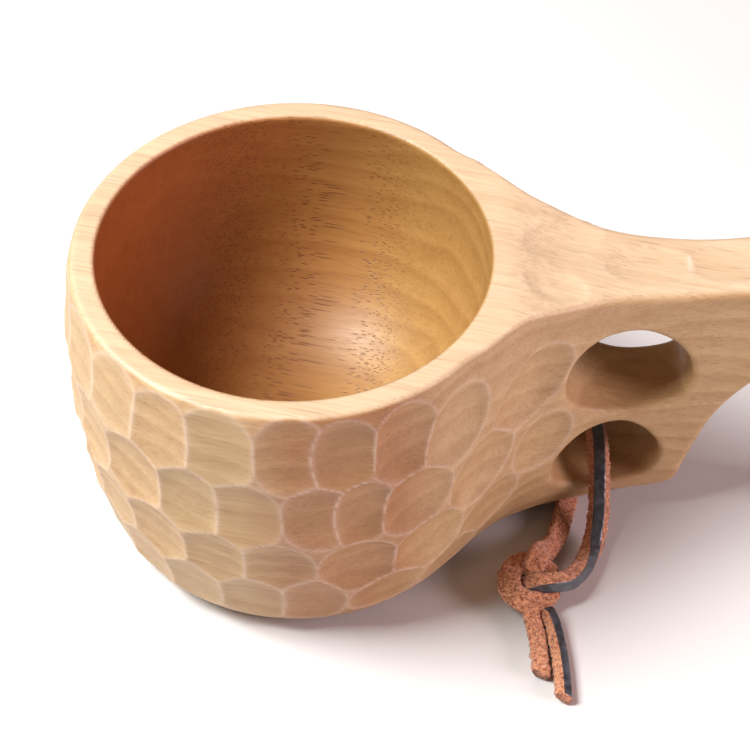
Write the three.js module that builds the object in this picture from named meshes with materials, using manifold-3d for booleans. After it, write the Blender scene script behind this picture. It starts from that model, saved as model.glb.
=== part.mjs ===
// A carved wooden cup (kuksa) with a leather lace through the lower hole of its handle.
// Millimetres, +Z up. The origin is the middle of the flat base; +X points along the handle.

import * as THREE from 'three';
import { mergeVertices } from 'three/addons/utils/BufferGeometryUtils.js';
import { TessellateModifier } from 'three/addons/modifiers/TessellateModifier.js';
import Module from 'manifold-3d';

const wasm = await Module();
wasm.setup();

// ---- driving dimensions ----

const CUP_HEIGHT = 70;
const RIM_OUTER_RADIUS = 42.8;
const RIM_INNER_RADIUS = 38;
const WIDEST_RADIUS = 45.4;
const WIDEST_HEIGHT = 50;
const BASE_RADIUS = 30;
const BOWL_BOTTOM = 22;
const BOWL_SQUARENESS = 2.5;

const BODY_TURNS = 88;
const BODY_ROWS = 20;
const BOWL_TURNS = 48;
const BOWL_ROWS = 12;

const SCOOPS_PER_ROW = 22;
const SCOOP_DEPTH = 1.05;
const SCOOP_RADIUS = 32;
const SCOOP_STRETCH = 0.7;

// Rows of scoops round the wall, as [height, degrees that the row is turned].
const SCOOP_ROWS = [[59.5, -90.5], [43.7, -84.9], [26.8, -93.7], [13.5, -86.3]];

const PLATE_HALF_WIDTH = 8;
const PLATE_EDGE = 1.5;
const PLATE_ROOT_X = 26;
const PLATE_MESH_STEP = 9;
const ROOT_NARROWING = 1.6;

const LACE_RADIUS = 1.7;
const LACE_SIDES = 8;
const LACE_STEP = 4.4;
const KNOT_SEGMENTS = 18;

// Half width of the handle seen from above, at distances from the cup's axis.
const HANDLE_PLAN = [
  [36, 23.5], [40, 20.8], [44, 18.2], [48, 16], [52, 14.1], [56, 12.2], [60, 10.6],
  [64, 9.6], [68, 8.9], [76, 8.2], [84, 7.9], [96, 8.3], [104, 8], [112, 6.5],
];

// Outline of the handle seen from the side, as [x, z].
const HANDLE_TOP = [
  [PLATE_ROOT_X, CUP_HEIGHT], [42, CUP_HEIGHT], [48, 68.6], [56, 67.1], [66, 66.2], [78, 65.9],
  [90, 66.6], [99, 66.8], [105, 65], [108, 60.5], [106, 55],
];
const HANDLE_NOTCH = [[100, 48.5], [94, 43], [88.6, 36.5], [84.6, 29.5], [82, 21.5], [80.2, 15]];
const HANDLE_FOOT = [[78.6, 9.6], [75, 7.7], [68, 6.5], [60, 4.9], [50, 3.6], [40, 3.2], [PLATE_ROOT_X, 3]];

// Hole outlines in the middle plane of the handle, as [x, z].
const FINGER_HOLE = [
  [53.2, 44.8], [54, 50], [57, 54.2], [62, 56.3], [68.2, 56], [73.7, 52.8], [77.4, 48],
  [79, 42.3], [77.6, 37.2], [73, 34.6], [66.4, 33.5], [60.6, 34.6], [56, 37.8], [53.8, 41.2],
];
const LACE_HOLE = [
  [52, 18.2], [53, 22.6], [56.2, 27], [59.8, 29.2], [63.6, 30], [67.2, 29.2], [70.6, 26.6],
  [73.2, 23], [74.4, 19.2], [73.6, 15.4], [70.8, 12.3], [66, 10.7], [60.4, 10.2], [55.8, 11.5],
  [53, 14.2],
];

// Centre line of the lace. It leaves the knot, rises over the handle's bottom bar through the
// lower hole, comes down behind it and returns under the bar to the knot.
const LACE_LOOP_ROUTE = [
  [55, -31.3, 6], [57.2, -28.8, 5], [59.4, -24.8, 4], [61.4, -19.6, 3.8], [62.4, -15.2, 6.8],
  [62.5, -12.1, 11], [62.6, -7, 14.6], [62.6, 0, 15.6], [62.1, 7, 13.8], [61.6, 12.2, 9.6],
  [60.9, 13.4, 5.2], [59.9, 10.6, 2.2], [58.6, 4, 1.9], [57.2, -4, 1.9], [55.4, -11, 1.9],
  [53.4, -17.2, 2.3], [51.4, -21.5, 4.2], [50.1, -23.7, 6.2],
];
const SHORT_TAIL_ROUTE = [[47.4, -37.5, 2.8], [48.2, -42, 2], [48.5, -46.6, 1.9], [48.6, -51.2, 1.9]];
const LONG_TAIL_ROUTE = [[51.1, -37, 2.8], [52.4, -42.4, 2], [53, -49.6, 1.9], [53, -56.8, 1.9]];
const KNOT_CENTRE = [47.3, -31, 5.3];
const KNOT_HALF_SIZES = [6.2, 6.2, 5.1];

// ---- solids ----

// Keeps only positions, merges shared corners and drops the slivers that closed up.
function closedMesh(geometry) {
  geometry.deleteAttribute('normal');
  geometry.deleteAttribute('uv');
  const merged = mergeVertices(geometry, 1e-4);
  const corners = merged.index.array;
  const kept = [];
  for (let i = 0; i < corners.length; i += 3) {
    const [a, b, c] = corners.slice(i, i + 3);
    if (a !== b && b !== c && c !== a) kept.push(a, b, c);
  }
  merged.setIndex(kept);
  return merged;
}

function toSolid(geometry) {
  const closed = closedMesh(geometry);
  return new wasm.Manifold(new wasm.Mesh({
    numProp: 3,
    vertProperties: new Float32Array(closed.attributes.position.array),
    triVerts: new Uint32Array(closed.index.array),
  }));
}

function toGeometry(solid) {
  const mesh = solid.getMesh();
  const geometry = new THREE.BufferGeometry();
  geometry.setAttribute('position', new THREE.BufferAttribute(mesh.vertProperties, 3));
  geometry.setIndex(new THREE.BufferAttribute(mesh.triVerts, 1));
  geometry.computeVertexNormals();
  return geometry;
}

// Straight-line reading of a table of [x, value] pairs.
function readTable(table, x) {
  if (x <= table[0][0]) return table[0][1];
  for (let i = 1; i < table.length; i += 1) {
    const [x0, v0] = table[i - 1];
    const [x1, v1] = table[i];
    if (x <= x1) return v0 + (v1 - v0) * (x - x0) / (x1 - x0);
  }
  return table[table.length - 1][1];
}

// ---- the turned body ----

function bodyProfile() {
  const lower = new THREE.CubicBezierCurve(
    new THREE.Vector2(BASE_RADIUS, 0),
    new THREE.Vector2(BASE_RADIUS + (WIDEST_RADIUS - BASE_RADIUS) * 0.6, 0),
    new THREE.Vector2(WIDEST_RADIUS, WIDEST_HEIGHT * 0.12),
    new THREE.Vector2(WIDEST_RADIUS, WIDEST_HEIGHT),
  );
  const upper = new THREE.CubicBezierCurve(
    new THREE.Vector2(WIDEST_RADIUS, WIDEST_HEIGHT),
    new THREE.Vector2(WIDEST_RADIUS, WIDEST_HEIGHT + 8),
    new THREE.Vector2(RIM_OUTER_RADIUS + 1.9, CUP_HEIGHT - 7),
    new THREE.Vector2(RIM_OUTER_RADIUS, CUP_HEIGHT),
  );
  const wall = new THREE.CurvePath();
  wall.add(lower);
  wall.add(upper);
  return wall.getSpacedPoints(BODY_ROWS);
}

const BODY_WALL = bodyProfile();

function bodyRadiusAt(z) {
  return readTable(BODY_WALL.map((point) => [point.y, point.x]), z);
}

// Depth that the carving tool took off at an angle round the body and a height.
function scoopDepthAt(angle, z) {
  let depth = 0;
  for (const [centreHeight, turned] of SCOOP_ROWS) {
    const turn = (THREE.MathUtils.radToDeg(angle) - turned) / 360 * SCOOPS_PER_ROW;
    const along = (turn - Math.round(turn)) / SCOOPS_PER_ROW * 2 * Math.PI * WIDEST_RADIUS;
    const up = (z - centreHeight) ** 2 * SCOOP_STRETCH;
    depth = Math.max(depth, SCOOP_DEPTH - (along * along + up) / (2 * SCOOP_RADIUS));
  }
  return depth;
}

function makeBody() {
  const outline = [
    new THREE.Vector2(0, 0),
    ...BODY_WALL,
    new THREE.Vector2(0, CUP_HEIGHT),
  ];
  const body = new THREE.LatheGeometry(outline, BODY_TURNS);
  const places = body.attributes.position;
  for (let i = 0; i < places.count; i += 1) {
    // LatheGeometry turns about Y, so its Y is the height here.
    const radius = Math.hypot(places.getX(i), places.getZ(i));
    const height = places.getY(i);
    const onWall = height > 0 && height < CUP_HEIGHT && radius > 0;
    if (onWall) {
      const angle = Math.atan2(-places.getZ(i), places.getX(i));
      const scale = (radius - scoopDepthAt(angle, height)) / radius;
      places.setX(i, places.getX(i) * scale);
      places.setZ(i, places.getZ(i) * scale);
    }
  }
  return toSolid(body.rotateX(Math.PI / 2));
}

// The hollow: an upright barrel with a round bottom, open through the rim.
function makeBowl() {
  const depth = CUP_HEIGHT - BOWL_BOTTOM;
  const outline = [];
  for (let i = 0; i <= BOWL_ROWS; i += 1) {
    const turn = i / BOWL_ROWS * Math.PI / 2;
    const power = 2 / BOWL_SQUARENESS;
    const radius = RIM_INNER_RADIUS * Math.sin(turn) ** power;
    const below = depth * Math.cos(turn) ** power;
    outline.push(new THREE.Vector2(i === 0 ? 0 : radius, CUP_HEIGHT - below));
  }
  const mouth = CUP_HEIGHT + 5;
  outline.push(new THREE.Vector2(RIM_INNER_RADIUS, mouth));
  outline.push(new THREE.Vector2(0, mouth));
  return toSolid(new THREE.LatheGeometry(outline, BOWL_TURNS).rotateX(Math.PI / 2));
}

// ---- the handle ----

function smoothLoop(points, count) {
  const curve = new THREE.CatmullRomCurve3(
    points.map(([x, z]) => new THREE.Vector3(x, z, 0)), true);
  return curve.getSpacedPoints(count).slice(0, count).map((p) => new THREE.Vector2(p.x, p.y));
}

function handleOutline() {
  const upper = new THREE.SplineCurve(HANDLE_TOP.slice(1).map(([x, z]) => new THREE.Vector2(x, z)));
  const notch = new THREE.SplineCurve(
    [HANDLE_TOP.at(-1), ...HANDLE_NOTCH, ...HANDLE_FOOT.slice(0, -1)]
      .map(([x, z]) => new THREE.Vector2(x, z)));
  return [
    new THREE.Vector2(...HANDLE_TOP[0]),
    ...upper.getSpacedPoints(20),
    ...notch.getSpacedPoints(34).slice(1),
    new THREE.Vector2(...HANDLE_FOOT.at(-1)),
  ];
}

// Half width of the handle at a place: it flares towards the body and follows the body's wall.
function handleHalfWidth(x, z) {
  const tuck = WIDEST_RADIUS - bodyRadiusAt(Math.max(z, 0));
  const flare = z > WIDEST_HEIGHT ? 0 : tuck * ROOT_NARROWING;
  return readTable(HANDLE_PLAN, x + flare);
}

function makeHandle() {
  const shape = new THREE.Shape(handleOutline().reverse());
  shape.holes.push(new THREE.Path(smoothLoop(FINGER_HOLE, 28)));
  shape.holes.push(new THREE.Path(smoothLoop(LACE_HOLE, 26)));
  const plate = new THREE.ExtrudeGeometry(shape, {
    depth: 2 * (PLATE_HALF_WIDTH - PLATE_EDGE),
    bevelEnabled: true,
    bevelThickness: PLATE_EDGE,
    bevelSize: PLATE_EDGE,
    bevelOffset: -PLATE_EDGE,
    bevelSegments: 2,
  });
  plate.translate(0, 0, PLATE_EDGE - PLATE_HALF_WIDTH);
  plate.rotateX(Math.PI / 2);
  const fine = new TessellateModifier(PLATE_MESH_STEP, 8).modify(plate);
  const places = fine.attributes.position;
  for (let i = 0; i < places.count; i += 1) {
    const widen = handleHalfWidth(places.getX(i), places.getZ(i)) / PLATE_HALF_WIDTH;
    places.setY(i, places.getY(i) * widen);
  }
  return toSolid(fine);
}

function makeCup() {
  return toGeometry(makeBody().add(makeHandle()).subtract(makeBowl()));
}

// ---- the lace ----

function laceSection() {
  const points = [];
  for (let i = 0; i < LACE_SIDES; i += 1) {
    const turn = (i + 0.5) / LACE_SIDES * 2 * Math.PI;
    points.push(new THREE.Vector2(LACE_RADIUS * Math.cos(turn), LACE_RADIUS * Math.sin(turn)));
  }
  return new THREE.Shape(points);
}

function makeStrand(route) {
  const path = new THREE.CatmullRomCurve3(route.map((point) => new THREE.Vector3(...point)));
  const steps = Math.max(2, Math.round(path.getLength() / LACE_STEP));
  const strand = new THREE.ExtrudeGeometry(laceSection(), { steps, extrudePath: path });
  return toGeometry(toSolid(strand));
}

function makeKnot() {
  const knot = new THREE.SphereGeometry(1, KNOT_SEGMENTS, KNOT_SEGMENTS / 2);
  knot.scale(...KNOT_HALF_SIZES);
  knot.translate(...KNOT_CENTRE);
  return toGeometry(toSolid(knot));
}

// ---- assembly ----

const WOOD = new THREE.MeshStandardMaterial({ color: 0xc79a63, roughness: 0.55, metalness: 0 });
const LEATHER = new THREE.MeshStandardMaterial({ color: 0x2a2524, roughness: 0.6, metalness: 0 });
const SUEDE = new THREE.MeshStandardMaterial({ color: 0xa5673f, roughness: 0.95, metalness: 0 });

function named(name, geometry, material) {
  const mesh = new THREE.Mesh(geometry, material);
  mesh.name = name;
  return mesh;
}

const kuksa = new THREE.Group();
kuksa.add(named('cup', makeCup(), WOOD));
kuksa.add(named('lace_loop', makeStrand(LACE_LOOP_ROUTE), LEATHER));
kuksa.add(named('lace_knot', makeKnot(), SUEDE));
kuksa.add(named('lace_tail_short', makeStrand(SHORT_TAIL_ROUTE), SUEDE));
kuksa.add(named('lace_tail_long', makeStrand(LONG_TAIL_ROUTE), LEATHER));

export default kuksa;
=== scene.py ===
"""A carved wooden cup (kuksa) with a knotted leather lace, in metres, +Z up, handle along +X."""

import math

import bpy
import numpy as np
from mathutils import Matrix, Vector


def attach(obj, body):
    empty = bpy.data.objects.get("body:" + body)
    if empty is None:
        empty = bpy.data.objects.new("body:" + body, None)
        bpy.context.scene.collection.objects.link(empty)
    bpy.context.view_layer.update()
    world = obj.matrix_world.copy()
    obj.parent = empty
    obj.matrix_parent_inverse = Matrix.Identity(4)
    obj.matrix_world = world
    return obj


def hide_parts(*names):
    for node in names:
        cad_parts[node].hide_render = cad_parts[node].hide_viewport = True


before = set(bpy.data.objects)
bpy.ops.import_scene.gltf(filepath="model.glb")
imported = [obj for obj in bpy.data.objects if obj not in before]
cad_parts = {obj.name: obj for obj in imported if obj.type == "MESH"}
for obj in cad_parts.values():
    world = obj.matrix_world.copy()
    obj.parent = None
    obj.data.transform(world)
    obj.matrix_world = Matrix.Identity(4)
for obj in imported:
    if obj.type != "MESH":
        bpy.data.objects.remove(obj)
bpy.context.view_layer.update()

# ---- camera ----

CAMERA_PLACE = (0.0082, -0.3118, 0.3816)
CAMERA_FORWARD = (0.0165, 0.6678, -0.7441)
CAMERA_UP = (0.0021, 0.7442, 0.6680)
CAMERA_LENS_MM = 110.4
CAMERA_NEAREST = 0.01

# ---- lace, repeated from the model's route ----

LACE_LOOP_ROUTE = [
    (0.0550, -0.0313, 0.0060), (0.0572, -0.0288, 0.0050), (0.0594, -0.0248, 0.0040),
    (0.0614, -0.0196, 0.0038), (0.0624, -0.0152, 0.0068), (0.0625, -0.0121, 0.0110),
    (0.0626, -0.0070, 0.0146), (0.0626, 0.0000, 0.0156), (0.0621, 0.0070, 0.0138),
    (0.0616, 0.0122, 0.0096), (0.0609, 0.0134, 0.0052), (0.0599, 0.0106, 0.0022),
    (0.0586, 0.0040, 0.0019), (0.0572, -0.0040, 0.0019), (0.0554, -0.0110, 0.0019),
    (0.0534, -0.0172, 0.0023), (0.0514, -0.0215, 0.0042), (0.0501, -0.0237, 0.0062),
]
SHORT_TAIL_ROUTE = [
    (0.0474, -0.0375, 0.0028), (0.0482, -0.0420, 0.0020), (0.0485, -0.0466, 0.0019),
    (0.0486, -0.0512, 0.0019),
]
LONG_TAIL_ROUTE = [
    (0.0511, -0.0370, 0.0028), (0.0524, -0.0424, 0.0020), (0.0530, -0.0496, 0.0019),
    (0.0530, -0.0568, 0.0019),
]
KNOT_CENTRE = (0.0473, -0.0310, 0.0053)

# Where the black face of the strip looks at each point of the loop.
LACE_LOOP_FACING = [
    (0.30, -0.90, 0.45), (0.32, -0.85, 0.48), (0.20, -0.80, 0.55), (0.00, -0.70, 0.70),
    (-0.10, -0.80, 0.60), (-0.10, -0.85, 0.55), (-0.05, -0.50, 0.85), (0.00, 0.00, 1.00),
    (0.00, 0.50, 0.85), (0.00, 1.00, 0.20), (0.00, 0.90, -0.50), (0.00, 0.30, -0.95),
    (-0.10, 0.00, -1.00), (-0.20, 0.00, -1.00), (-0.40, 0.00, -0.90), (-0.50, 0.20, -0.80),
    (-0.40, 0.50, -0.75), (-0.20, 0.60, -0.75),
]

# Both legs run on over the knot's ring and down into its eye. The tails come out under it.
NEAR_LEG_IN_KNOT = [
    (0.0470, -0.0326, 0.0040), (0.0484, -0.0327, 0.0070), (0.0516, -0.0328, 0.0074),
]
NEAR_LEG_FACING = [(-0.5, -0.8, 0.2), (-0.1, -1.0, 0.0), (0.1, -0.95, 0.30)]
FAR_LEG_IN_KNOT = [
    (0.0490, -0.0268, 0.0088), (0.0478, -0.0302, 0.0072), (0.0472, -0.0330, 0.0034),
]
FAR_LEG_FACING = [(-0.2, 0.2, -0.9), (-0.1, -0.6, -0.7), (-0.1, -0.5, -0.8)]
SHORT_TAIL_IN_KNOT = [(0.0472, -0.0330, 0.0034)]
SHORT_TAIL_FACING = [(0.0, 0.0, -1.0)] * 5
LONG_TAIL_IN_KNOT = [(0.0470, -0.0326, 0.0040), (0.0488, -0.0344, 0.0026)]
LONG_TAIL_FACING = [(-0.5, -0.8, 0.2), (0.3, -0.6, 0.6)] + [(0.45, -0.5, 0.7)] * 4
RING_RADIUS = 0.0040
RING_TILT = math.radians(25)
RING_HIGH_SIDE = 0.0012
RING_DIAGONAL = 0.7  # about 1 / sqrt(2), so that the ring rises by RING_HIGH_SIDE at most
RING_FLARE = 0.45
RING_POINTS = 12

STRIP_FACE_WIDTH = 0.0024
STRIP_BACK_WIDTH = 0.0045
STRIP_THICKNESS = 0.0030
STRIP_SHOULDER = 0.5  # how far down the half thickness the strip is widest
STRIP_BACK_FLAT = 0.8  # share of the back width that is flat
SECTION_STEPS = (5, 6, 2, 6, 2, 6)  # points on each side of the section, the black face first
FACE_STEPS = SECTION_STEPS[0]
TAIL_SIZE = 0.8
RING_SIZE = 1.12
SHORT_TAIL_SLANT = 0.5
LONG_TAIL_SLANT = -0.3
STRIP_STEP = 0.0004
SUEDE_FUZZ = 0.00015
FACE_EDGE_FUZZ = 0.15
FUZZ_FREE_ROWS = 2

# ---- cup, in the model's own driving dimensions ----

CUP_HEIGHT = 0.070
RIM_OUTER_RADIUS = 0.0428
RIM_INNER_RADIUS = 0.038
WIDEST_RADIUS = 0.0454
WIDEST_HEIGHT = 0.050
BASE_RADIUS = 0.030
BOWL_BOTTOM = 0.022
BOWL_SQUARENESS = 2.5

# Handles of the wall's two curves, which meet at its widest height.
FOOT_PULL = 0.6
BELLY_PULL = 0.12
SHOULDER_PULL = 0.008
RIM_PULL = (0.0019, 0.007)
BOWL_POINTS = 60

# The turned outlines run on past the rim, so that the rim is cut from solid wood.
ABOVE_RIM = 0.010
LEAN_ABOVE_RIM = 0.003
BOWL_ABOVE_RIM = 0.02

HANDLE_PLAN = [
    (0.036, 0.0235), (0.040, 0.0208), (0.044, 0.0182), (0.048, 0.0160), (0.052, 0.0141),
    (0.056, 0.0122), (0.060, 0.0106), (0.064, 0.0096), (0.068, 0.0089), (0.076, 0.0082),
    (0.084, 0.0079), (0.096, 0.0083), (0.104, 0.0080), (0.112, 0.0065),
]
HANDLE_TOP = [
    (0.000, 0.0700), (0.020, 0.0700), (0.036, 0.0700), (0.042, 0.0699), (0.048, 0.0687),
    (0.056, 0.0672), (0.066, 0.0662), (0.078, 0.0659), (0.090, 0.0666), (0.099, 0.0668),
    (0.112, 0.0655),
]
HANDLE_END = [(0.1045, 0.0800), (0.1070, 0.0690), (0.1078, 0.0610), (0.1060, 0.0550)]
HANDLE_NOTCH = [
    (0.1000, 0.0485), (0.0940, 0.0430), (0.0886, 0.0365), (0.0846, 0.0295), (0.0820, 0.0215),
    (0.0802, 0.0150), (0.0786, 0.0096), (0.0750, 0.0077), (0.0680, 0.0065), (0.0600, 0.0049),
    (0.0500, 0.0036), (0.0400, 0.0032),
]
HANDLE_ROOT = [(0.026, 0.0030), (0.026, 0.0800)]
FINGER_HOLE = [
    (0.0532, 0.0448), (0.0540, 0.0500), (0.0570, 0.0542), (0.0620, 0.0563), (0.0682, 0.0560),
    (0.0737, 0.0528), (0.0774, 0.0480), (0.0790, 0.0423), (0.0776, 0.0372), (0.0730, 0.0346),
    (0.0664, 0.0335), (0.0606, 0.0346), (0.0560, 0.0378), (0.0538, 0.0412),
]
LACE_HOLE = [
    (0.0520, 0.0182), (0.0530, 0.0226), (0.0562, 0.0270), (0.0598, 0.0292), (0.0636, 0.0300),
    (0.0672, 0.0292), (0.0706, 0.0266), (0.0732, 0.0230), (0.0744, 0.0192), (0.0736, 0.0154),
    (0.0708, 0.0123), (0.0660, 0.0107), (0.0604, 0.0102), (0.0558, 0.0115), (0.0530, 0.0142),
]
ROOT_NARROWING = 1.6
ROOT_BLEND = 0.006
EDGE_CHANGES = (0.038, 0.062)  # from the rim's edge to the handle's, along X
HOLE_EDGE = 0.0012
RIM_EDGE = 0.0009
HANDLE_EDGE = 0.0020
BASE_EDGE = 0.0008
INNER_EDGE = 0.0007

CUP_MESH_STEP = 0.00055
MESH_LOW = (-0.0475, -0.0475, -0.0015)
MESH_HIGH = (0.1100, 0.0475, CUP_HEIGHT + 0.0015)
OUTLINE_STEP = 0.0004
TABLE_ROOM = 0.01
TABLE_LOW = -0.012
TABLE_ENDS = {"body": (TABLE_LOW, 0.060), "handle": (0.015, 0.120)}
LAST_CELL = 1.001  # keeps a lookup inside the table's last cell

SCOOPS_PER_ROW = 22
SCOOP_ROWS = (  # height, how far the row is turned in degrees, and its share of the depth
    (0.0595, -90.5, 0.80), (0.0437, -84.9, 0.98), (0.0268, -93.7, 1.14), (0.0135, -86.3, 1.18),
)
ROWS_STOP_DEGREES = 80
SCOOP_DEPTH = 0.0012
SCOOP_HALF_WIDTH = 0.0079
SCOOP_HALF_HEIGHT = 0.0096
SCOOP_POWER = 3  # a scoop gets shallower with this power of the distance from its middle
SCOOP_THROUGH = 0.006  # a scoop cuts nothing further than this off its own face
SAME_FACE_COSINE = 0.35
SCOOP_SEED = 7
TURN_SPREAD = 1.6
HEIGHT_SPREAD = 0.0010
LENGTH_SPREAD = (0.95, 1.06)
WIDTH_SPREAD = (0.96, 1.07)
LEAN_SPREAD = 0.12
DEPTH_SPREAD = (0.84, 1.16)
RIDGE_WIDTH = 0.0002
RIDGE_REACH = 0.32
FACES_UP = 0.7
TOP_OUTLINE = 0.15
SIDE_OUTLINE = 0.7
BELOW_BOWL = 0.001

# Scoops placed one by one: centre, direction of the long axis, half length, half width, depth.
FLANK_SCOOPS = [
    ((0.0096, -0.0439, 0.0596), (0.0, 0.0, 1.0), 0.0092, 0.0076, 1.7),
    ((0.0210, -0.0398, 0.0590), (0.11, 0.17, 0.98), 0.0098, 0.0074, 1.7),
    ((0.0311, -0.0329, 0.0556), (0.26, 0.32, 0.91), 0.0102, 0.0082, 1.7),
    ((0.0450, -0.0179, 0.0500), (0.56, 0.45, 0.70), 0.0118, 0.0082, 1.5),
    ((0.0130, -0.0434, 0.0430), (0.06, 0.0, 1.0), 0.0096, 0.0068, 1.7),
    ((0.0235, -0.0387, 0.0413), (0.32, 0.17, 0.93), 0.0092, 0.0086, 1.7),
    ((0.0365, -0.0270, 0.0370), (0.44, 0.42, 0.80), 0.0100, 0.0092, 1.7),
    ((0.0128, -0.0426, 0.0258), (0.73, 0.15, 0.66), 0.0082, 0.0092, 1.7),
    ((0.0264, -0.0355, 0.0245), (0.58, 0.33, 0.74), 0.0090, 0.0090, 1.7),
    ((0.0383, -0.0229, 0.0200), (0.69, 0.69, 0.22), 0.0088, 0.0074, 1.0),
    ((0.0490, -0.0153, 0.0310), (0.35, 0.14, 0.93), 0.0088, 0.0066, 1.0),
    ((0.0180, -0.0380, 0.0130), (0.9, 0.3, 0.2), 0.0085, 0.0070, 1.0),
    ((0.0310, -0.0290, 0.0110), (0.8, 0.5, 0.1), 0.0080, 0.0062, 1.0),
    ((0.1000, -0.0080, 0.0590), (0.8, 0.0, 0.6), 0.0070, 0.0060, 0.5),
]
TOP_SCOOPS = [
    ((0.0520, 0.0052, 0.0680), (0.88, 0.45, 0.0), 0.0092, 0.0052, 0.6),
    ((0.0500, -0.0075, 0.0690), (0.80, -0.20, 0.0), 0.0066, 0.0046, 0.6),
    ((0.0685, -0.0004, 0.0660), (1.0, 0.05, 0.0), 0.0090, 0.0056, 0.6),
    ((0.0850, 0.0004, 0.0660), (1.0, 0.0, 0.0), 0.0092, 0.0058, 0.6),
    ((0.0990, 0.0000, 0.0670), (1.0, 0.0, 0.0), 0.0072, 0.0058, 0.5),
]


# ---- outlines and distance tables ----


def spline(points, closed=False, steps=10):
    """A Catmull-Rom curve through the points, as a dense polyline."""
    knots = np.array(points, float)
    if closed:
        knots = np.vstack([knots[-1:], knots, knots[:2]])
    else:
        knots = np.vstack([2 * knots[0] - knots[1], knots, 2 * knots[-1] - knots[-2]])
    turn = np.linspace(0, 1, steps, endpoint=False)[:, None]
    pieces = []
    for a, b, c, d in zip(knots[:-3], knots[1:-2], knots[2:-1], knots[3:]):
        bend = 2 * a - 5 * b + 4 * c - d
        twist = -a + 3 * b - 3 * c + d
        pieces.append(b + 0.5 * ((c - a) * turn + bend * turn**2 + twist * turn**3))
    if not closed:
        pieces.append(knots[-2:-1])
    return np.vstack(pieces)


def bezier(points, steps=24):
    """A cubic Bezier curve as a polyline."""
    a, b, c, d = np.array(points, float)
    t = np.linspace(0, 1, steps)[:, None]
    return (1 - t) ** 3 * a + 3 * (1 - t) ** 2 * t * b + 3 * (1 - t) * t**2 * c + t**3 * d


class Outline:
    """The signed distance to a closed outline in a plane, negative inside, kept as a table."""

    def __init__(self, points, low, high):
        self.low = np.array(low)
        counts = np.ceil((np.array(high) - self.low) / OUTLINE_STEP).astype(int) + 1
        grid_u = self.low[0] + OUTLINE_STEP * np.arange(counts[0])
        grid_v = self.low[1] + OUTLINE_STEP * np.arange(counts[1])
        u, v = np.meshgrid(grid_u, grid_v, indexing="ij")
        self.table = self._distance(np.asarray(points), u, v)

    @staticmethod
    def _distance(points, u, v):
        nearest = np.full(u.shape, 1e9)
        inside = np.zeros(u.shape, bool)
        for (au, av), (bu, bv) in zip(points, np.roll(points, -1, axis=0)):
            du, dv = bu - au, bv - av
            length = du * du + dv * dv
            if length < 1e-14:
                continue
            along = np.clip(((u - au) * du + (v - av) * dv) / length, 0, 1)
            gap = (u - au - along * du) ** 2 + (v - av - along * dv) ** 2
            nearest = np.minimum(nearest, gap)
            if av != bv:
                crosses = (av > v) != (bv > v)
                inside ^= crosses & (u < au + (v - av) * du / dv)
        return np.where(inside, -1, 1) * np.sqrt(nearest)

    def __call__(self, u, v):
        i = np.clip((u - self.low[0]) / OUTLINE_STEP, 0, self.table.shape[0] - LAST_CELL)
        j = np.clip((v - self.low[1]) / OUTLINE_STEP, 0, self.table.shape[1] - LAST_CELL)
        i0, j0 = i.astype(int), j.astype(int)
        fi, fj = i - i0, j - j0
        near = self.table[i0, j0] * (1 - fj) + self.table[i0, j0 + 1] * fj
        far = self.table[i0 + 1, j0] * (1 - fj) + self.table[i0 + 1, j0 + 1] * fj
        return near * (1 - fi) + far * fi


def join_round(a, b, radius):
    """Two solids as one, with a fillet where they meet."""
    u = np.maximum(radius - a, 0)
    v = np.maximum(radius - b, 0)
    return np.maximum(radius, np.minimum(a, b)) - np.hypot(u, v)


def common_round(a, b, radius):
    """What two solids share, with a rounded edge where they meet."""
    u = np.maximum(radius + a, 0)
    v = np.maximum(radius + b, 0)
    return np.minimum(-radius, np.maximum(a, b)) + np.hypot(u, v)


# ---- the cup as a distance field ----


def body_wall():
    """The turned wall from base to rim, as (radius, height)."""
    low = bezier([
        (BASE_RADIUS, 0),
        (BASE_RADIUS + (WIDEST_RADIUS - BASE_RADIUS) * FOOT_PULL, 0),
        (WIDEST_RADIUS, WIDEST_HEIGHT * BELLY_PULL),
        (WIDEST_RADIUS, WIDEST_HEIGHT),
    ])
    high = bezier([
        (WIDEST_RADIUS, WIDEST_HEIGHT),
        (WIDEST_RADIUS, WIDEST_HEIGHT + SHOULDER_PULL),
        (RIM_OUTER_RADIUS + RIM_PULL[0], CUP_HEIGHT - RIM_PULL[1]),
        (RIM_OUTER_RADIUS, CUP_HEIGHT),
    ])
    return np.vstack([low, high[1:]])


def mirrored(half):
    """A turned outline with its other half, so that distances hold across the axis."""
    half = np.asarray(half)
    return np.vstack([half, (half * [-1, 1])[::-1]])


def bowl_outline():
    """The hollow, from the middle of its floor up past the rim."""
    depth = CUP_HEIGHT - BOWL_BOTTOM
    turn = np.linspace(0, math.pi / 2, BOWL_POINTS)
    power = 2 / BOWL_SQUARENESS
    radius = RIM_INNER_RADIUS * np.sin(turn) ** power
    height = CUP_HEIGHT - depth * np.cos(turn) ** power
    above = [(RIM_INNER_RADIUS, CUP_HEIGHT + BOWL_ABOVE_RIM)]
    return np.vstack([np.column_stack([radius, height]), above])


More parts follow.
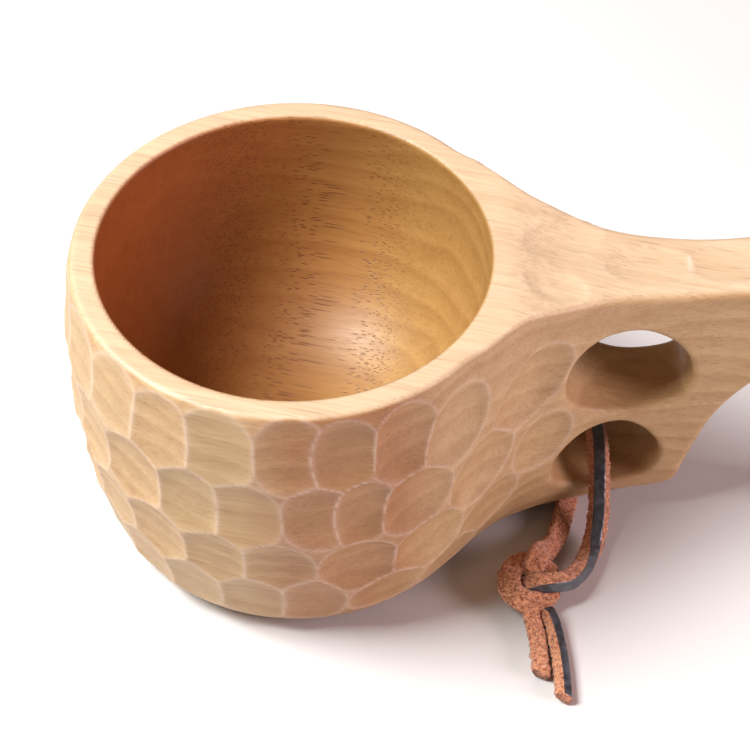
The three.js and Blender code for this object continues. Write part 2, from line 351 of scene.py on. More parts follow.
class CupField:
    """Distance to the cup's surface before it is carved with scoops, negative in the wood."""

    def __init__(self):
        above = CUP_HEIGHT + ABOVE_RIM
        self.wall = body_wall()
        lean = [(RIM_OUTER_RADIUS - LEAN_ABOVE_RIM, above)]
        tall = np.vstack([[(0, 0)], self.wall, lean, [(0, above)]])
        self.body = self._table(mirrored(tall), "body")
        self.bowl = self._table(mirrored(bowl_outline()), "body")
        side = np.vstack([spline(HANDLE_END + HANDLE_NOTCH), HANDLE_ROOT])
        self.side = self._table(side, "handle")
        self.holes = [
            self._table(spline(hole, closed=True), "handle")
            for hole in (FINGER_HOLE, LACE_HOLE)
        ]
        self.plan = spline(HANDLE_PLAN)
        self.top = spline(HANDLE_TOP)

    @staticmethod
    def _table(points, part):
        start, end = TABLE_ENDS[part]
        top = CUP_HEIGHT + ABOVE_RIM + TABLE_ROOM
        return Outline(points, (start, TABLE_LOW), (end, top))

    def half_width(self, x, z):
        tuck = WIDEST_RADIUS - np.interp(z, self.wall[:, 1], self.wall[:, 0])
        flare = np.where(z > WIDEST_HEIGHT, 0, tuck * ROOT_NARROWING)
        return np.interp(x + flare, self.plan[:, 0], self.plan[:, 1])

    def __call__(self, x, y, z):
        radius = np.hypot(x, y)
        wood = self.body(radius, z)
        plate = common_round(self.side(x, z), np.abs(y) - self.half_width(x, z), HANDLE_EDGE)
        wood = join_round(wood, plate, ROOT_BLEND)
        for hole in self.holes:
            wood = common_round(wood, -hole(x, z), HOLE_EDGE)
        edge = np.interp(x, EDGE_CHANGES, (RIM_EDGE, HANDLE_EDGE))
        top = np.interp(x, self.top[:, 0], self.top[:, 1])
        wood = common_round(wood, z - top, edge)
        wood = common_round(wood, -z, BASE_EDGE)
        return common_round(wood, -self.bowl(radius, z), INNER_EDGE)


def slope(field, places, step=1e-4):
    """The field's value and its gradient at the places."""
    x, y, z = places.T
    here = field(x, y, z)
    rise = np.column_stack([
        field(x + step, y, z) - field(x - step, y, z),
        field(x, y + step, z) - field(x, y - step, z),
        field(x, y, z + step) - field(x, y, z - step),
    ])
    return here, rise / (2 * step)


def settle(field, places, rounds=3, least_square=0.05):
    """Moves the places onto the field's surface, and gives the outward normals there."""
    for _ in range(rounds):
        value, rise = slope(field, places)
        square = np.maximum((rise**2).sum(1), least_square)
        places = places - (value / square)[:, None] * rise
    _, rise = slope(field, places)
    return places, rise / np.maximum(np.linalg.norm(rise, axis=1), 1e-9)[:, None]


CORNERS = np.array([(i, j, k) for i in (0, 1) for j in (0, 1) for k in (0, 1)])
CELL_EDGES = [
    (a, b)
    for a in range(8)
    for b in range(a + 1, 8)
    if np.abs(CORNERS[a] - CORNERS[b]).sum() == 1
]


def surface_net(values, origin, step):
    """One vertex for each grid cell that the surface passes, one quad for each grid edge."""
    inside = values < 0
    cells = np.array(values.shape) - 1
    total = np.zeros(cells, np.int8)
    for i, j, k in CORNERS:
        total += inside[i:i + cells[0], j:j + cells[1], k:k + cells[2]]
    active = np.argwhere((total > 0) & (total < 8))
    number = np.full(cells, -1)
    number[tuple(active.T)] = np.arange(len(active))
    at_corner = [values[tuple((active + corner).T)] for corner in CORNERS]
    places = np.zeros((len(active), 3))
    count = np.zeros(len(active))
    for a, b in CELL_EDGES:
        crossed = (at_corner[a] < 0) != (at_corner[b] < 0)
        gap = np.where(crossed, at_corner[a] - at_corner[b], 1)
        along = np.where(crossed, at_corner[a] / gap, 0)
        spot = CORNERS[a] + along[:, None] * (CORNERS[b] - CORNERS[a])
        places += np.where(crossed[:, None], spot, 0)
        count += crossed
    places = origin + step * (active + places / count[:, None])
    return places, np.vstack([net_quads(inside, number, axis) for axis in range(3)])


def net_quads(inside, number, axis):
    """The quads round the grid edges along one axis."""
    first = np.take(inside, range(0, inside.shape[axis] - 1), axis)
    second = np.take(inside, range(1, inside.shape[axis]), axis)
    edges = np.argwhere(first != second)
    leaving = first[tuple(edges.T)]
    u, v = (axis + 1) % 3, (axis + 2) % 3
    ring = []
    for back_u, back_v in ((0, 0), (1, 0), (1, 1), (0, 1)):
        cell = edges.copy()
        cell[:, u] -= back_u
        cell[:, v] -= back_v
        ring.append(number[tuple(cell.T)])
    quads = np.column_stack(ring)
    quads[~leaving] = quads[~leaving, ::-1]
    return quads


# ---- the carved scoops ----


def row_scoops(field):
    """Rows of scoops round the wall, up to the handle's flanks."""
    rng = np.random.default_rng(SCOOP_SEED)
    scoops = []
    for height, turned, share in SCOOP_ROWS:
        for step in range(SCOOPS_PER_ROW):
            degrees = turned - step * 360 / SCOOPS_PER_ROW + rng.uniform(-TURN_SPREAD, TURN_SPREAD)
            angle = math.radians((degrees + 180) % 360 - 180)
            z = height + rng.uniform(-HEIGHT_SPREAD, HEIGHT_SPREAD)
            half_long = SCOOP_HALF_HEIGHT * rng.uniform(*LENGTH_SPREAD)
            half_wide = SCOOP_HALF_WIDTH * rng.uniform(*WIDTH_SPREAD)
            lean = rng.uniform(-LEAN_SPREAD, LEAN_SPREAD)
            if abs(math.degrees(angle)) < ROWS_STOP_DEGREES:
                continue
            radius = np.interp(z, field.wall[:, 1], field.wall[:, 0])
            centre = (radius * math.cos(angle), radius * math.sin(angle), z)
            along = (-lean * math.sin(angle), lean * math.cos(angle), 1)
            depth = share * rng.uniform(*DEPTH_SPREAD)
            scoops.append((centre, along, half_long, half_wide, depth))
    return scoops


def mirrored_scoops(scoops):
    """The same scoops on the cup's other side."""
    return [
        ((x, -y, z), (a, -b, c), half_long, half_wide, depth)
        for (x, y, z), (a, b, c), half_long, half_wide, depth in scoops
    ]


def scoop_axes(along, normal):
    """The scoop's two axes in the face it is cut into."""
    along = np.array(along) - normal * np.dot(along, normal)
    along /= np.linalg.norm(along)
    return along, np.cross(normal, along)


def scoop_depths(places, normals, scoops, centres, facing):
    """The two deepest scoops at each place.

    Gives the depth of the first, of the second, and of the first with scoops that stop short
    counted below 0. Then come the tone of the facet and the slope of the first over the second.
    """
    rng = np.random.default_rng(SCOOP_SEED + 1)
    deepest = np.zeros(len(places))
    second = np.zeros(len(places))
    rise = np.zeros((2, len(places), 3))
    nearest = np.full(len(places), -1.0)
    tone = np.full(len(places), 0.5)
    for (_, along, half_long, half_wide, share), centre, normal in zip(scoops, centres, facing):
        along, across = scoop_axes(along, normal)
        shade = rng.uniform()
        offset = places - centre
        u = offset @ along / half_long
        v = offset @ across / half_wide
        peak = share * SCOOP_DEPTH
        reach = np.sqrt(u**2 + v**2)
        depth = peak * (1 - reach**SCOOP_POWER)
        same_face = np.abs(offset @ normal) < SCOOP_THROUGH
        same_face &= normals @ normal > SAME_FACE_COSINE
        nearest = np.where(same_face, np.maximum(nearest, depth), nearest)
        reached = same_face & (depth > 0)
        pull = (u / half_long)[:, None] * along + (v / half_wide)[:, None] * across
        pull *= -SCOOP_POWER * peak * reach[:, None] ** (SCOOP_POWER - 2)
        best = reached & (depth > deepest)
        next_best = reached & ~best & (depth > second)
        rise[1] = np.where(best[:, None], rise[0], rise[1])
        rise[0] = np.where(best[:, None], pull, rise[0])
        rise[1] = np.where(next_best[:, None], pull, rise[1])
        second = np.where(best, deepest, np.where(next_best, depth, second))
        deepest = np.where(best, depth, deepest)
        tone = np.where(best, shade, tone)
    return deepest, second, nearest, tone, rise[0] - rise[1]


def carve(places, normals, field, scoops):
    """Sinks the places into the scoops, with the places nearest a ridge moved onto it."""
    centres, facing = settle(field, np.array([scoop[0] for scoop in scoops]), rounds=6)
    deepest, second, _, _, away = scoop_depths(places, normals, scoops, centres, facing)
    steep = np.maximum(np.linalg.norm(away, axis=1), 1e-6)
    gap = (deepest - second) / steep
    near = (deepest > 0) & (gap < RIDGE_REACH * CUP_MESH_STEP)
    places = places + np.where(near[:, None], -away * (gap / steep)[:, None], 0)
    deepest, second, nearest, tone, _ = scoop_depths(places, normals, scoops, centres, facing)
    outline = np.where(normals[:, 2] > FACES_UP, TOP_OUTLINE, SIDE_OUTLINE)
    ridge = np.exp(-(deepest - second) / RIDGE_WIDTH) * np.where(second > 0, 1.0, outline)
    ridge *= np.exp(np.minimum(nearest, 0) / RIDGE_WIDTH)
    return places - normals * deepest[:, None], ridge, tone


# ---- mesh building ----


def mesh_object(name, places, faces, smooth=True):
    mesh = bpy.data.meshes.new(name)
    mesh.from_pydata([tuple(p) for p in places], [], [tuple(map(int, f)) for f in faces])
    mesh.polygons.foreach_set("use_smooth", [smooth] * len(mesh.polygons))
    mesh.update()
    piece = bpy.data.objects.new(name, mesh)
    bpy.context.scene.collection.objects.link(piece)
    return piece


def paint(piece, name, values):
    """Stores one number for each vertex, for the material to read."""
    layer = piece.data.attributes.new(name, "FLOAT", "POINT")
    layer.data.foreach_set("value", np.asarray(values, np.float32))


def make_cup():
    field = CupField()
    low = np.array(MESH_LOW)
    high = np.array(MESH_HIGH)
    counts = np.ceil((high - low) / CUP_MESH_STEP).astype(int) + 1
    lines = [low[i] + CUP_MESH_STEP * np.arange(counts[i]) for i in range(3)]
    x, y, z = np.meshgrid(*lines, indexing="ij")
    places, quads = surface_net(field(x, y, z), low, CUP_MESH_STEP)
    places, normals = settle(field, places)
    scoops = row_scoops(field) + TOP_SCOOPS + FLANK_SCOOPS + mirrored_scoops(FLANK_SCOOPS)
    places, ridge, tone = carve(places, normals, field, scoops)
    cup = mesh_object("kuksa_cup", places, quads)
    inside = RIM_INNER_RADIUS + INNER_EDGE - np.hypot(places[:, 0], places[:, 1])
    inner = np.clip(inside / INNER_EDGE, 0, 1)
    paint(cup, "ridge", ridge)
    paint(cup, "tone", tone)
    paint(cup, "bowl", inner * (places[:, 2] > BOWL_BOTTOM - BELOW_BOWL))
    return cup


# ---- the lace strip ----


def resample(points, step):
    """The polyline again, with points an even step apart."""
    gaps = np.linalg.norm(np.diff(points[:, :3], axis=0), axis=1)
    reach = np.concatenate([[0], np.cumsum(gaps)])
    count = max(4, int(round(reach[-1] / step)))
    marks = np.linspace(0, reach[-1], count + 1)
    return np.column_stack([np.interp(marks, reach, points[:, i]) for i in range(points.shape[1])])


def strip_section(size):
    """The strip's cross-section: a narrow black face, and wider suede sides and back."""
    face = STRIP_FACE_WIDTH / 2
    back = STRIP_BACK_WIDTH / 2
    half = STRIP_THICKNESS / 2
    shoulder = -half * STRIP_SHOULDER
    flat = back * STRIP_BACK_FLAT
    corners = np.array([
        (-face, half), (face, half), (back, shoulder),
        (flat, -half), (-flat, -half), (-back, shoulder),
    ])
    sides = []
    for corner, following, count in zip(corners, np.roll(corners, -1, axis=0), SECTION_STEPS):
        part = np.arange(count)[:, None] / count
        sides.append(corner + (following - corner) * part)
    return np.vstack(sides) * size


def strip_frame(route, facing, closed):
    """The strip's path, and along it the heading, the width and the way its black face looks."""
    if closed:
        route = [*route, route[0]]
        facing = [*facing, facing[0]]
    joined = np.hstack([np.array(route, float), np.array(facing, float)])
    dense = resample(spline(joined, steps=24), STRIP_STEP)
    if closed:
        dense = dense[:-1]
    path = dense[:, :3]
    if closed:
        heading = np.roll(path, -1, axis=0) - np.roll(path, 1, axis=0)
    else:
        heading = np.gradient(path, axis=0)
    heading /= np.linalg.norm(heading, axis=1)[:, None]
    out = dense[:, 3:] - heading * (dense[:, 3:] * heading).sum(1)[:, None]
    out /= np.linalg.norm(out, axis=1)[:, None]
    return path, heading, np.cross(heading, out), out


def roughen(places, path, seed):
    """Moves the suede in and out a little. The black face and the strip's ends stay smooth."""
    rng = np.random.default_rng(seed)
    fuzz = rng.normal(0, SUEDE_FUZZ, (*places.shape[:2], 1))
    fuzz[:, 1:FACE_STEPS] = 0
    fuzz[:, (0, FACE_STEPS)] *= FACE_EDGE_FUZZ
    fuzz[:FUZZ_FREE_ROWS] = 0
    fuzz[-FUZZ_FREE_ROWS:] = 0
    ray = places - path[:, None]
    ray /= np.linalg.norm(ray, axis=2)[:, :, None]
    return places + ray * fuzz


def strip_faces(rows, around, closed):
    """The strip's faces, each with its material: 0 for suede, 1 for the black face."""
    faces = []
    slots = []
    for i in range(rows if closed else rows - 1):
        here = i * around
        following = (i + 1) % rows * around
        for j in range(around):
            k = (j + 1) % around
            faces.append((here + j, following + j, following + k, here + k))
            slots.append(int(j < FACE_STEPS))
    if not closed:
        last = (rows - 1) * around
        faces.append(tuple(range(around)))
        faces.append(tuple(last + j for j in reversed(range(around))))
        slots += [0, 0]
    return faces, slots


def sweep_strip(name, route, facing, seed, closed=False, slant=0.0, size=1.0):
    """A strip of leather along a route, its last end cut at a slant."""
    path, heading, wide, out = strip_frame(route, facing, closed)
    section = strip_section(size)
    places = path[:, None] + wide[:, None] * section[:, :1] + out[:, None] * section[:, 1:]
    places = roughen(places, path, seed)
    places[-1] += heading[-1] * section[:, :1] * slant
    faces, slots = strip_faces(len(path), len(section), closed)
    strip = mesh_object(name, places.reshape(-1, 3), faces)
    strip.data.materials.append(SUEDE)
    strip.data.materials.append(BLACK_GRAIN)
    strip.data.polygons.foreach_set("material_index", slots)
    return strip, path


def make_knot():
    """The wrap of the overhand knot: a ring of the strip that both legs go down through."""
    centre = Vector(KNOT_CENTRE)
    along = Vector((0, math.cos(RING_TILT), math.sin(RING_TILT)))
    axis = Vector((0, -math.sin(RING_TILT), math.cos(RING_TILT)))
    ring = []
    facing = []
    for step in range(RING_POINTS):
        turn = step / RING_POINTS * 2 * math.pi
        spoke = Vector((math.cos(turn), 0, 0)) + along * math.sin(turn)
        rise = -RING_HIGH_SIDE * (math.cos(turn) + math.sin(turn)) * RING_DIAGONAL
        ring.append(centre + spoke * RING_RADIUS + axis * rise)
        facing.append(-axis - spoke * RING_FLARE)
    wrap, _ = sweep_strip("lace_knot_wrap", ring, facing, seed=5, closed=True, size=RING_SIZE)
    return wrap


# ---- materials ----

# The grain runs along the handle, turned a little. Each pitch is how many times a pattern
# repeats in a metre, along the grain, across it and upwards.
GRAIN_TURN = math.radians(-14)
WANDER_PITCH = (9, 22, 22)
FIBRE_PITCH = (70, 1700, 1700)
STREAK_PITCH = (16, 330, 330)
PORE_PITCH = (60, 2500, 2500)
CROWD_PITCH = (25, 120, 120)
PLAIN = (1, 1, 1)

RINGS_PER_METRE = 190.0
RING_WANDER = 6.0
RING_HEART = (0, -0.012, -0.055)
RING_EDGE = (1.0, 0.8)

# Colours, and how much of each shows where it shows fully.
EARLY_WOOD = (0.52, 0.345, 0.176, 1)
LATE_WOOD = (0.43, 0.262, 0.120, 1)
GOLDEN_WOOD = (0.56, 0.39, 0.19, 1)
GOLDEN_SHARE = 0.4
# Faces that point up, on the rim and the handle's top, are painted paler: painted light from
# above.
TOP_LIGHT_TINT = (0.64, 0.50, 0.36, 1)
TOP_LIGHT_SHARE = 0.6
# Painted shade: darker, redder wood on the front wall on the lace's side.
PAINTED_SHADE_TINT = (0.78, 0.60, 0.50, 1)
STREAK_TINT = (0.74, 0.64, 0.55, 1)
STREAK_SHARE = 0.42
FIBRE_TINT = (0.62, 0.50, 0.42, 1)
FIBRE_SHARE = 0.45
# Painted shade: some facets, picked at random, are darker, standing in for how each facet's angle
# catches the light.
PAINTED_FACET_SHADE = (0.40, 0.30, 0.15, 1)
PAINTED_FACET_SHARE = 0.3
# Paler ridges between the scoops: partly rubbed, paler wood and partly painted highlight on the
# rounded ridges.
RIDGE_RUB_AND_HIGHLIGHT = (0.82, 0.66, 0.56, 1)
RIDGE_RUB_AND_HIGHLIGHT_SHARE = 0.38
PORE_COLOUR = (0.12, 0.036, 0.012, 1)
PORE_SHARE = 0.62
BOWL_OCHRE = (0.375, 0.208, 0.060, 1)
BOWL_BROWN = (0.27, 0.135, 0.034, 1)
# The next colour is painted shade: the bowl's far wall from the handle, in the rim's shadow,
# darker and redder.
BOWL_SHADE_RED = (0.30, 0.068, 0.010, 1)
BOWL_SHARE = 0.93
BOWL_RING_SHARE = 0.7

# Where each pattern starts to show and where it shows fully, in its own value or in metres.
GOLDEN_RANGE = (0.4, 0.7)
STREAK_RANGE = (0.4, 0.75)
FIBRE_RANGE = (0.45, 0.75)
FACET_RANGE = (0.5, 1.0)
TOP_LIGHT_FACING = (0.45, 0.95)
TOP_LIGHT_HEIGHT = (0.060, 0.065)
BAND_START = (-0.010, 0.000)
BAND_END = (0.042, 0.020)
BAND_SIDE = (-0.032, -0.039)
BAND_FACING = (0.8, 0.4)
# Where the painted shade in the bowl starts and where it shows fully, along the grain.
BOWL_SHADE_SPAN = (0.018, -0.034)
PORE_FACING = (0.75, 0.4)
PORE_CHANCE = (0.66, 0.76)
PORE_CORE = (0.36, 0.18)
PORES_OUTSIDE = 0.4
CROWD_SHARE = 0.6

WOOD_ROUGHNESS = 0.365
FIBRE_ROUGHNESS = 0.22
FIBRE_HEIGHT = 0.35
WOOD_BUMP = (0.35, 0.00012)  # each bump's strength, and its height in metres
SUEDE_BUMP = (1.0, 0.0003)
BLACK_BUMP = (0.25, 0.00008)

SUEDE_SHADOW = (0.24, 0.05, 0.018, 1)
SUEDE_BODY = (0.72, 0.31, 0.155, 1)
SUEDE_TIP = (0.90, 0.58, 0.38, 1)
SUEDE_CLUMPS = 1300.0
SUEDE_CLUMP_RANGE = (0.38, 0.6)
SUEDE_FIBRES = 4200.0
SUEDE_TIP_RANGE = (0.54, 0.66)
BLACK_DYE = (0.012, 0.014, 0.02, 1)
# The blue-grey patches on the black face are partly real wear and partly painted sheen.
WORN_AND_SHEEN_BLACK = (0.085, 0.098, 0.125, 1)
BLACK_GRAINS = 3000.0
BLACK_WEAR_AND_SHEEN = 600.0
BLACK_WEAR_AND_SHEEN_RANGE = (0.4, 0.85)
BLACK_ROUGHNESS = 0.28
WORN_ROUGHNESS = 0.25
FLOOR_GREY = (0.62, 0.62, 0.62, 1)


class Nodes:
    """Short calls for building one material's node tree."""

    def __init__(self, name):
        self.material = bpy.data.materials.new(name)
        self.material.use_nodes = True
        self.tree = self.material.node_tree
        self.shader = self.tree.nodes["Principled BSDF"]

    def add(self, kind, inputs=None, **settings):
        node = self.tree.nodes.new(kind)
        for key, value in settings.items():
            setattr(node, key, value)
        for key, value in (inputs or {}).items():
            self.put(node.inputs[key], value)
        return node

    def put(self, socket, value):
        if isinstance(value, bpy.types.NodeSocket):
            self.tree.links.new(value, socket)
        else:
            socket.default_value = value

    def math(self, operation, a, b=0.0):
        return self.add("ShaderNodeMath", {0: a, 1: b}, operation=operation).outputs[0]

    def times(self, a, b):
        return self.math("MULTIPLY", a, b)

    def mix(self, part, a, b, blend="MIX"):
        node = self.add("ShaderNodeMix", data_type="RGBA", blend_type=blend)
        self.put(node.inputs[0], part)
        self.put(node.inputs[6], a)
        self.put(node.inputs[7], b)
        return node.outputs[2]

    def ramp(self, value, low, high):
        """0 below low, 1 above high."""
        node = self.add("ShaderNodeMapRange", {0: value, 1: low, 2: high}, clamp=True)
        return node.outputs[0]

    def split(self, vector):
        """The X, Y and Z of a vector."""
        return self.add("ShaderNodeSeparateXYZ", {0: vector}).outputs

    def place(self):
        return self.add("ShaderNodeTexCoord").outputs["Object"]

    def coordinates(self, pitch, shift=(0, 0, 0)):
        """Places along the grain, stretched so that a pattern repeats at the given pitch."""
        node = self.add(
            "ShaderNodeMapping",
            {
                "Vector": self.place(),
                "Scale": [1 / repeats for repeats in pitch],
                "Location": shift,
                "Rotation": (0, 0, GRAIN_TURN),
            },
            vector_type="TEXTURE",
        )
        return node.outputs[0]

    def noise(self, vector, scale, detail, rough=0.5):
        node = self.add(
            "ShaderNodeTexNoise",
            {"Vector": vector, "Scale": scale, "Detail": detail, "Roughness": rough})
        return node.outputs[0]

    def attribute(self, name):
        return self.add("ShaderNodeAttribute", attribute_name=name).outputs["Fac"]

    def voronoi(self, vector, scale):
        return self.add("ShaderNodeTexVoronoi", {"Vector": vector, "Scale": scale}).outputs

    def bump(self, height, strength, distance):
        node = self.add(
            "ShaderNodeBump", {"Height": height, "Strength": strength, "Distance": distance})
        return node.outputs[0]

    def finish(self, **inputs):
        """Sets the shader's inputs, named with _ for each space, and gives the material."""
        for key, value in inputs.items():
            self.put(self.shader.inputs[key.replace("_", " ")], value)
        return self.material


def wood_material():
    n = Nodes("oiled_wood")
    bowl = n.attribute("bowl")
    facing = n.split(n.add("ShaderNodeNewGeometry").outputs["Normal"])
    fibre = n.noise(n.coordinates(FIBRE_PITCH), 1.0, 4.0, 0.6)
    pores = open_pores(n, bowl, facing)
    colour = plain_wood(n, bowl, facing)
    colour = grain_lines(n, colour, fibre)
    # Painted shade on randomly picked facets, standing in for how each facet catches the light.
    shade = n.times(n.ramp(n.attribute("tone"), *FACET_RANGE), PAINTED_FACET_SHARE)
    colour = n.mix(shade, colour, PAINTED_FACET_SHADE)
    # Pale ridges: partly rubbed wood, partly painted highlight.
    colour = n.mix(n.times(n.attribute("ridge"), RIDGE_RUB_AND_HIGHLIGHT_SHARE), colour, RIDGE_RUB_AND_HIGHLIGHT)
    colour = n.mix(n.times(pores, PORE_SHARE), colour, PORE_COLOUR)
    rough = n.math("ADD", n.times(fibre, FIBRE_ROUGHNESS), WOOD_ROUGHNESS)
    height = n.math("SUBTRACT", n.times(fibre, FIBRE_HEIGHT), pores)
    return n.finish(
        Base_Color=colour, Roughness=rough, Normal=n.bump(height, *WOOD_BUMP),
        Specular_IOR_Level=0.4, Coat_Weight=0.05, Coat_Roughness=0.3)


def plain_wood(n, bowl, facing):
    """The wood's colour before its fine lines: rings, golden patches, painted light on the top
    faces, the bowl, and painted shade on the front wall.
    """
    wander = n.noise(n.coordinates(WANDER_PITCH), 1.0, 2.0)
    rings = growth_rings(n, wander)
    colour = n.mix(rings, EARLY_WOOD, LATE_WOOD)
    colour = n.mix(n.times(n.ramp(wander, *GOLDEN_RANGE), GOLDEN_SHARE), colour, GOLDEN_WOOD)
    # Painted light: faces that point up on the rim and the handle's top are made paler.
    colour = n.mix(n.times(painted_top_light(n, facing), TOP_LIGHT_SHARE), colour, TOP_LIGHT_TINT)
    colour = n.mix(n.times(bowl, BOWL_SHARE), colour, bowl_colour(n, rings))
    # Painted shade: the front wall on the lace's side is darkened and reddened.
    return n.mix(painted_front_shade(n, facing), colour, PAINTED_SHADE_TINT, "MULTIPLY")


def grain_lines(n, colour, fibre):
    """The colour with darker streaks and fibres along the grain."""
    streak = n.noise(n.coordinates(STREAK_PITCH), 1.0, 3.0)
    streaks = n.times(n.ramp(streak, *STREAK_RANGE), STREAK_SHARE)
    colour = n.mix(streaks, colour, STREAK_TINT, "MULTIPLY")
    fibres = n.times(n.ramp(fibre, *FIBRE_RANGE), FIBRE_SHARE)
    return n.mix(fibres, colour, FIBRE_TINT, "MULTIPLY")


def painted_top_light(n, facing):
    """1 on the rim and the handle's top, where faces that point up are painted paler: painted
    light from above.
    """
    height = n.split(n.coordinates(PLAIN))[2]
    return n.times(n.ramp(facing[2], *TOP_LIGHT_FACING), n.ramp(height, *TOP_LIGHT_HEIGHT))


def painted_front_shade(n, facing):
    """1 on the front wall on the lace's side, where painted shade darkens and reddens the wood."""
    x, y, _ = n.split(n.place())
    begins = n.ramp(x, *BAND_START)
    ends = n.ramp(x, *BAND_END)
    outside = n.times(n.ramp(y, *BAND_SIDE), n.ramp(facing[2], *BAND_FACING))
    return n.times(n.times(begins, ends), outside)


def bowl_colour(n, rings):
    """The oil has soaked deeper into the bowl. Its far side from the handle, in the rim's shadow,
    is painted darker and redder: painted shade.
    """
    ochre = n.mix(n.times(rings, BOWL_RING_SHARE), BOWL_OCHRE, BOWL_BROWN)
    along = n.split(n.coordinates(PLAIN))[0]
    return n.mix(n.ramp(along, *BOWL_SHADE_SPAN), ochre, BOWL_SHADE_RED)


def open_pores(n, bowl, facing):
    """Pores, most open in the bowl, and too small to see where the grain runs into the face."""
    lengthwise = n.ramp(n.math("ABSOLUTE", facing[0]), *PORE_FACING)
    return n.times(pore_mask(n), n.times(lengthwise, n.math("ADD", bowl, PORES_OUTSIDE)))


def growth_rings(n, wander):
    """Wide, uneven rings round a heart that lies below the cup, along the grain."""
    _, y, z = n.split(n.coordinates(PLAIN, RING_HEART))
    radius = n.math("SQRT", n.math("ADD", n.times(y, y), n.times(z, z)))
    turns = n.math("ADD", n.times(radius, RINGS_PER_METRE), n.times(wander, RING_WANDER))
    part = n.math("FRACT", turns)
    return n.times(part, n.ramp(part, *RING_EDGE))


def pore_mask(n):
    """Short dark vessels that run along the grain, 1 in a pore and 0 outside."""
    spots = n.voronoi(n.coordinates(PORE_PITCH), 1.0)
    chance = n.add("ShaderNodeSeparateColor", {0: spots["Color"]}).outputs[0]
    crowd = n.noise(n.coordinates(CROWD_PITCH), 1.0, 2.0)
    kept = n.ramp(n.math("ADD", chance, n.times(crowd, CROWD_SHARE)), *PORE_CHANCE)
    core = n.ramp(spots["Distance"], *PORE_CORE)
    return n.times(core, kept)


def suede_material():
    n = Nodes("raw_suede")
    plain = n.coordinates(PLAIN)
    clumps = n.noise(plain, SUEDE_CLUMPS, 3.0, 0.75)
    fibres = n.noise(plain, SUEDE_FIBRES, 2.0, 0.8)
    colour = n.mix(n.ramp(clumps, *SUEDE_CLUMP_RANGE), SUEDE_SHADOW, SUEDE_BODY)
    colour = n.mix(n.ramp(fibres, *SUEDE_TIP_RANGE), colour, SUEDE_TIP)
    normal = n.bump(n.math("ADD", clumps, fibres), *SUEDE_BUMP)
    return n.finish(
        Base_Color=colour, Roughness=0.95, Normal=normal,
        Specular_IOR_Level=0.15, Sheen_Weight=0.3, Sheen_Roughness=0.5)


def black_grain_material():
    n = Nodes("black_grain_leather")
    plain = n.coordinates(PLAIN)
    grain = n.voronoi(plain, BLACK_GRAINS)["Distance"]
    wear_and_sheen = n.noise(plain, BLACK_WEAR_AND_SHEEN, 3.0)
    # Blue-grey patches: partly wear, partly painted sheen.
    colour = n.mix(n.ramp(wear_and_sheen, *BLACK_WEAR_AND_SHEEN_RANGE), BLACK_DYE, WORN_AND_SHEEN_BLACK)
    rough = n.math("ADD", n.times(wear_and_sheen, WORN_ROUGHNESS), BLACK_ROUGHNESS)
    return n.finish(
        Base_Color=colour, Roughness=rough, Normal=n.bump(grain, *BLACK_BUMP),
        Specular_IOR_Level=0.8, Coat_Weight=0.5, Coat_Roughness=0.3)


def floor_material():
    return Nodes("pale_floor").finish(Base_Color=FLOOR_GREY, Roughness=0.9)


# ---- stage ----

FLOOR_HALF_SIDE = 3.0
SKY_COLOUR = (1, 0.70, 0.56, 1)
SKY_STRENGTH = 0.15

# Each light: name, place, what it is aimed at, side in metres, watts and colour.
LIGHTS = (
    ("key", (-0.50, -0.05, 0.75), (0.0, 0, 0.04), 0.42, 17.0, (1.0, 0.99, 0.975)),
    ("fill", (0.78, -0.30, 0.34), (0.06, -0.02, 0.01), 0.36, 5.4, (1.0, 0.77, 0.84)),
)


def make_camera():
    forward = Vector(CAMERA_FORWARD).normalized()
    up = (Vector(CAMERA_UP) - forward * forward.dot(Vector(CAMERA_UP))).normalized()
    right = forward.cross(up)
    turn = Matrix((right, up, -forward)).transposed().to_4x4()
    camera = bpy.data.objects.new("camera", bpy.data.cameras.new("camera"))
    bpy.context.scene.collection.objects.link(camera)
    camera.data.lens = CAMERA_LENS_MM
    camera.data.clip_start = CAMERA_NEAREST
    camera.matrix_world = Matrix.Translation(CAMERA_PLACE) @ turn
    bpy.context.scene.camera = camera


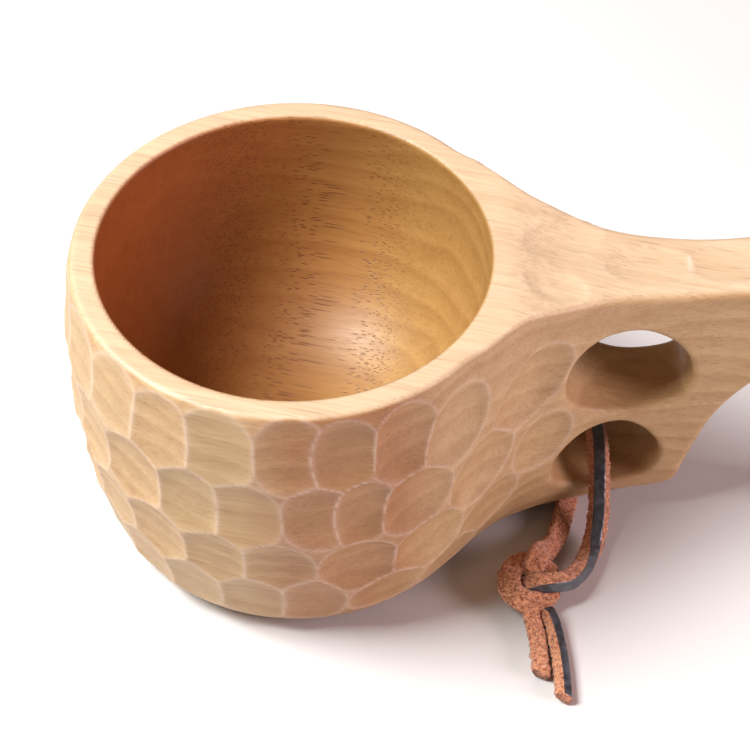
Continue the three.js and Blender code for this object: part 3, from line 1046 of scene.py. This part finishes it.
def make_light(name, place, target, size, power, colour):
    light = bpy.data.lights.new(name, "AREA")
    light.shape = "SQUARE"
    light.size = size
    light.energy = power
    light.color = colour
    lamp = bpy.data.objects.new(name, light)
    lamp.location = place
    lamp.rotation_mode = "QUATERNION"
    lamp.rotation_quaternion = (Vector(target) - Vector(place)).to_track_quat("-Z", "Y")
    bpy.context.scene.collection.objects.link(lamp)


def make_floor():
    side = FLOOR_HALF_SIDE
    corners = [(-side, -side, 0), (side, -side, 0), (side, side, 0), (-side, side, 0)]
    floor = mesh_object("floor", corners, [(0, 1, 2, 3)], smooth=False)
    floor.data.materials.append(floor_material())


def make_sky():
    world = bpy.data.worlds.new("studio")
    world.use_nodes = True
    background = world.node_tree.nodes["Background"]
    background.inputs["Color"].default_value = SKY_COLOUR
    background.inputs["Strength"].default_value = SKY_STRENGTH
    bpy.context.scene.world = world


# ---- assembly ----

make_camera()

SUEDE = suede_material()
BLACK_GRAIN = black_grain_material()

loop, loop_path = sweep_strip(
    "lace_loop_strip",
    NEAR_LEG_IN_KNOT + LACE_LOOP_ROUTE + FAR_LEG_IN_KNOT,
    NEAR_LEG_FACING + LACE_LOOP_FACING + FAR_LEG_FACING, seed=2)
wrap = make_knot()
short_tail, _ = sweep_strip(
    "lace_short_tail", SHORT_TAIL_IN_KNOT + SHORT_TAIL_ROUTE, SHORT_TAIL_FACING,
    seed=3, slant=SHORT_TAIL_SLANT, size=TAIL_SIZE)
long_tail, _ = sweep_strip(
    "lace_long_tail", LONG_TAIL_IN_KNOT + LONG_TAIL_ROUTE, LONG_TAIL_FACING,
    seed=4, slant=LONG_TAIL_SLANT, size=TAIL_SIZE)

for piece, node in (
    (loop, "lace_loop"), (wrap, "lace_knot"),
    (short_tail, "lace_tail_short"), (long_tail, "lace_tail_long"),
):
    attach(piece, "lace")
    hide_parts(node)

cup = make_cup()
cup.data.materials.append(wood_material())
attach(cup, "cup")
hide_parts("cup")

make_floor()
make_sky()
for light in LIGHTS:
    make_light(*light)
bpy.context.scene.view_settings.view_transform = "Standard"
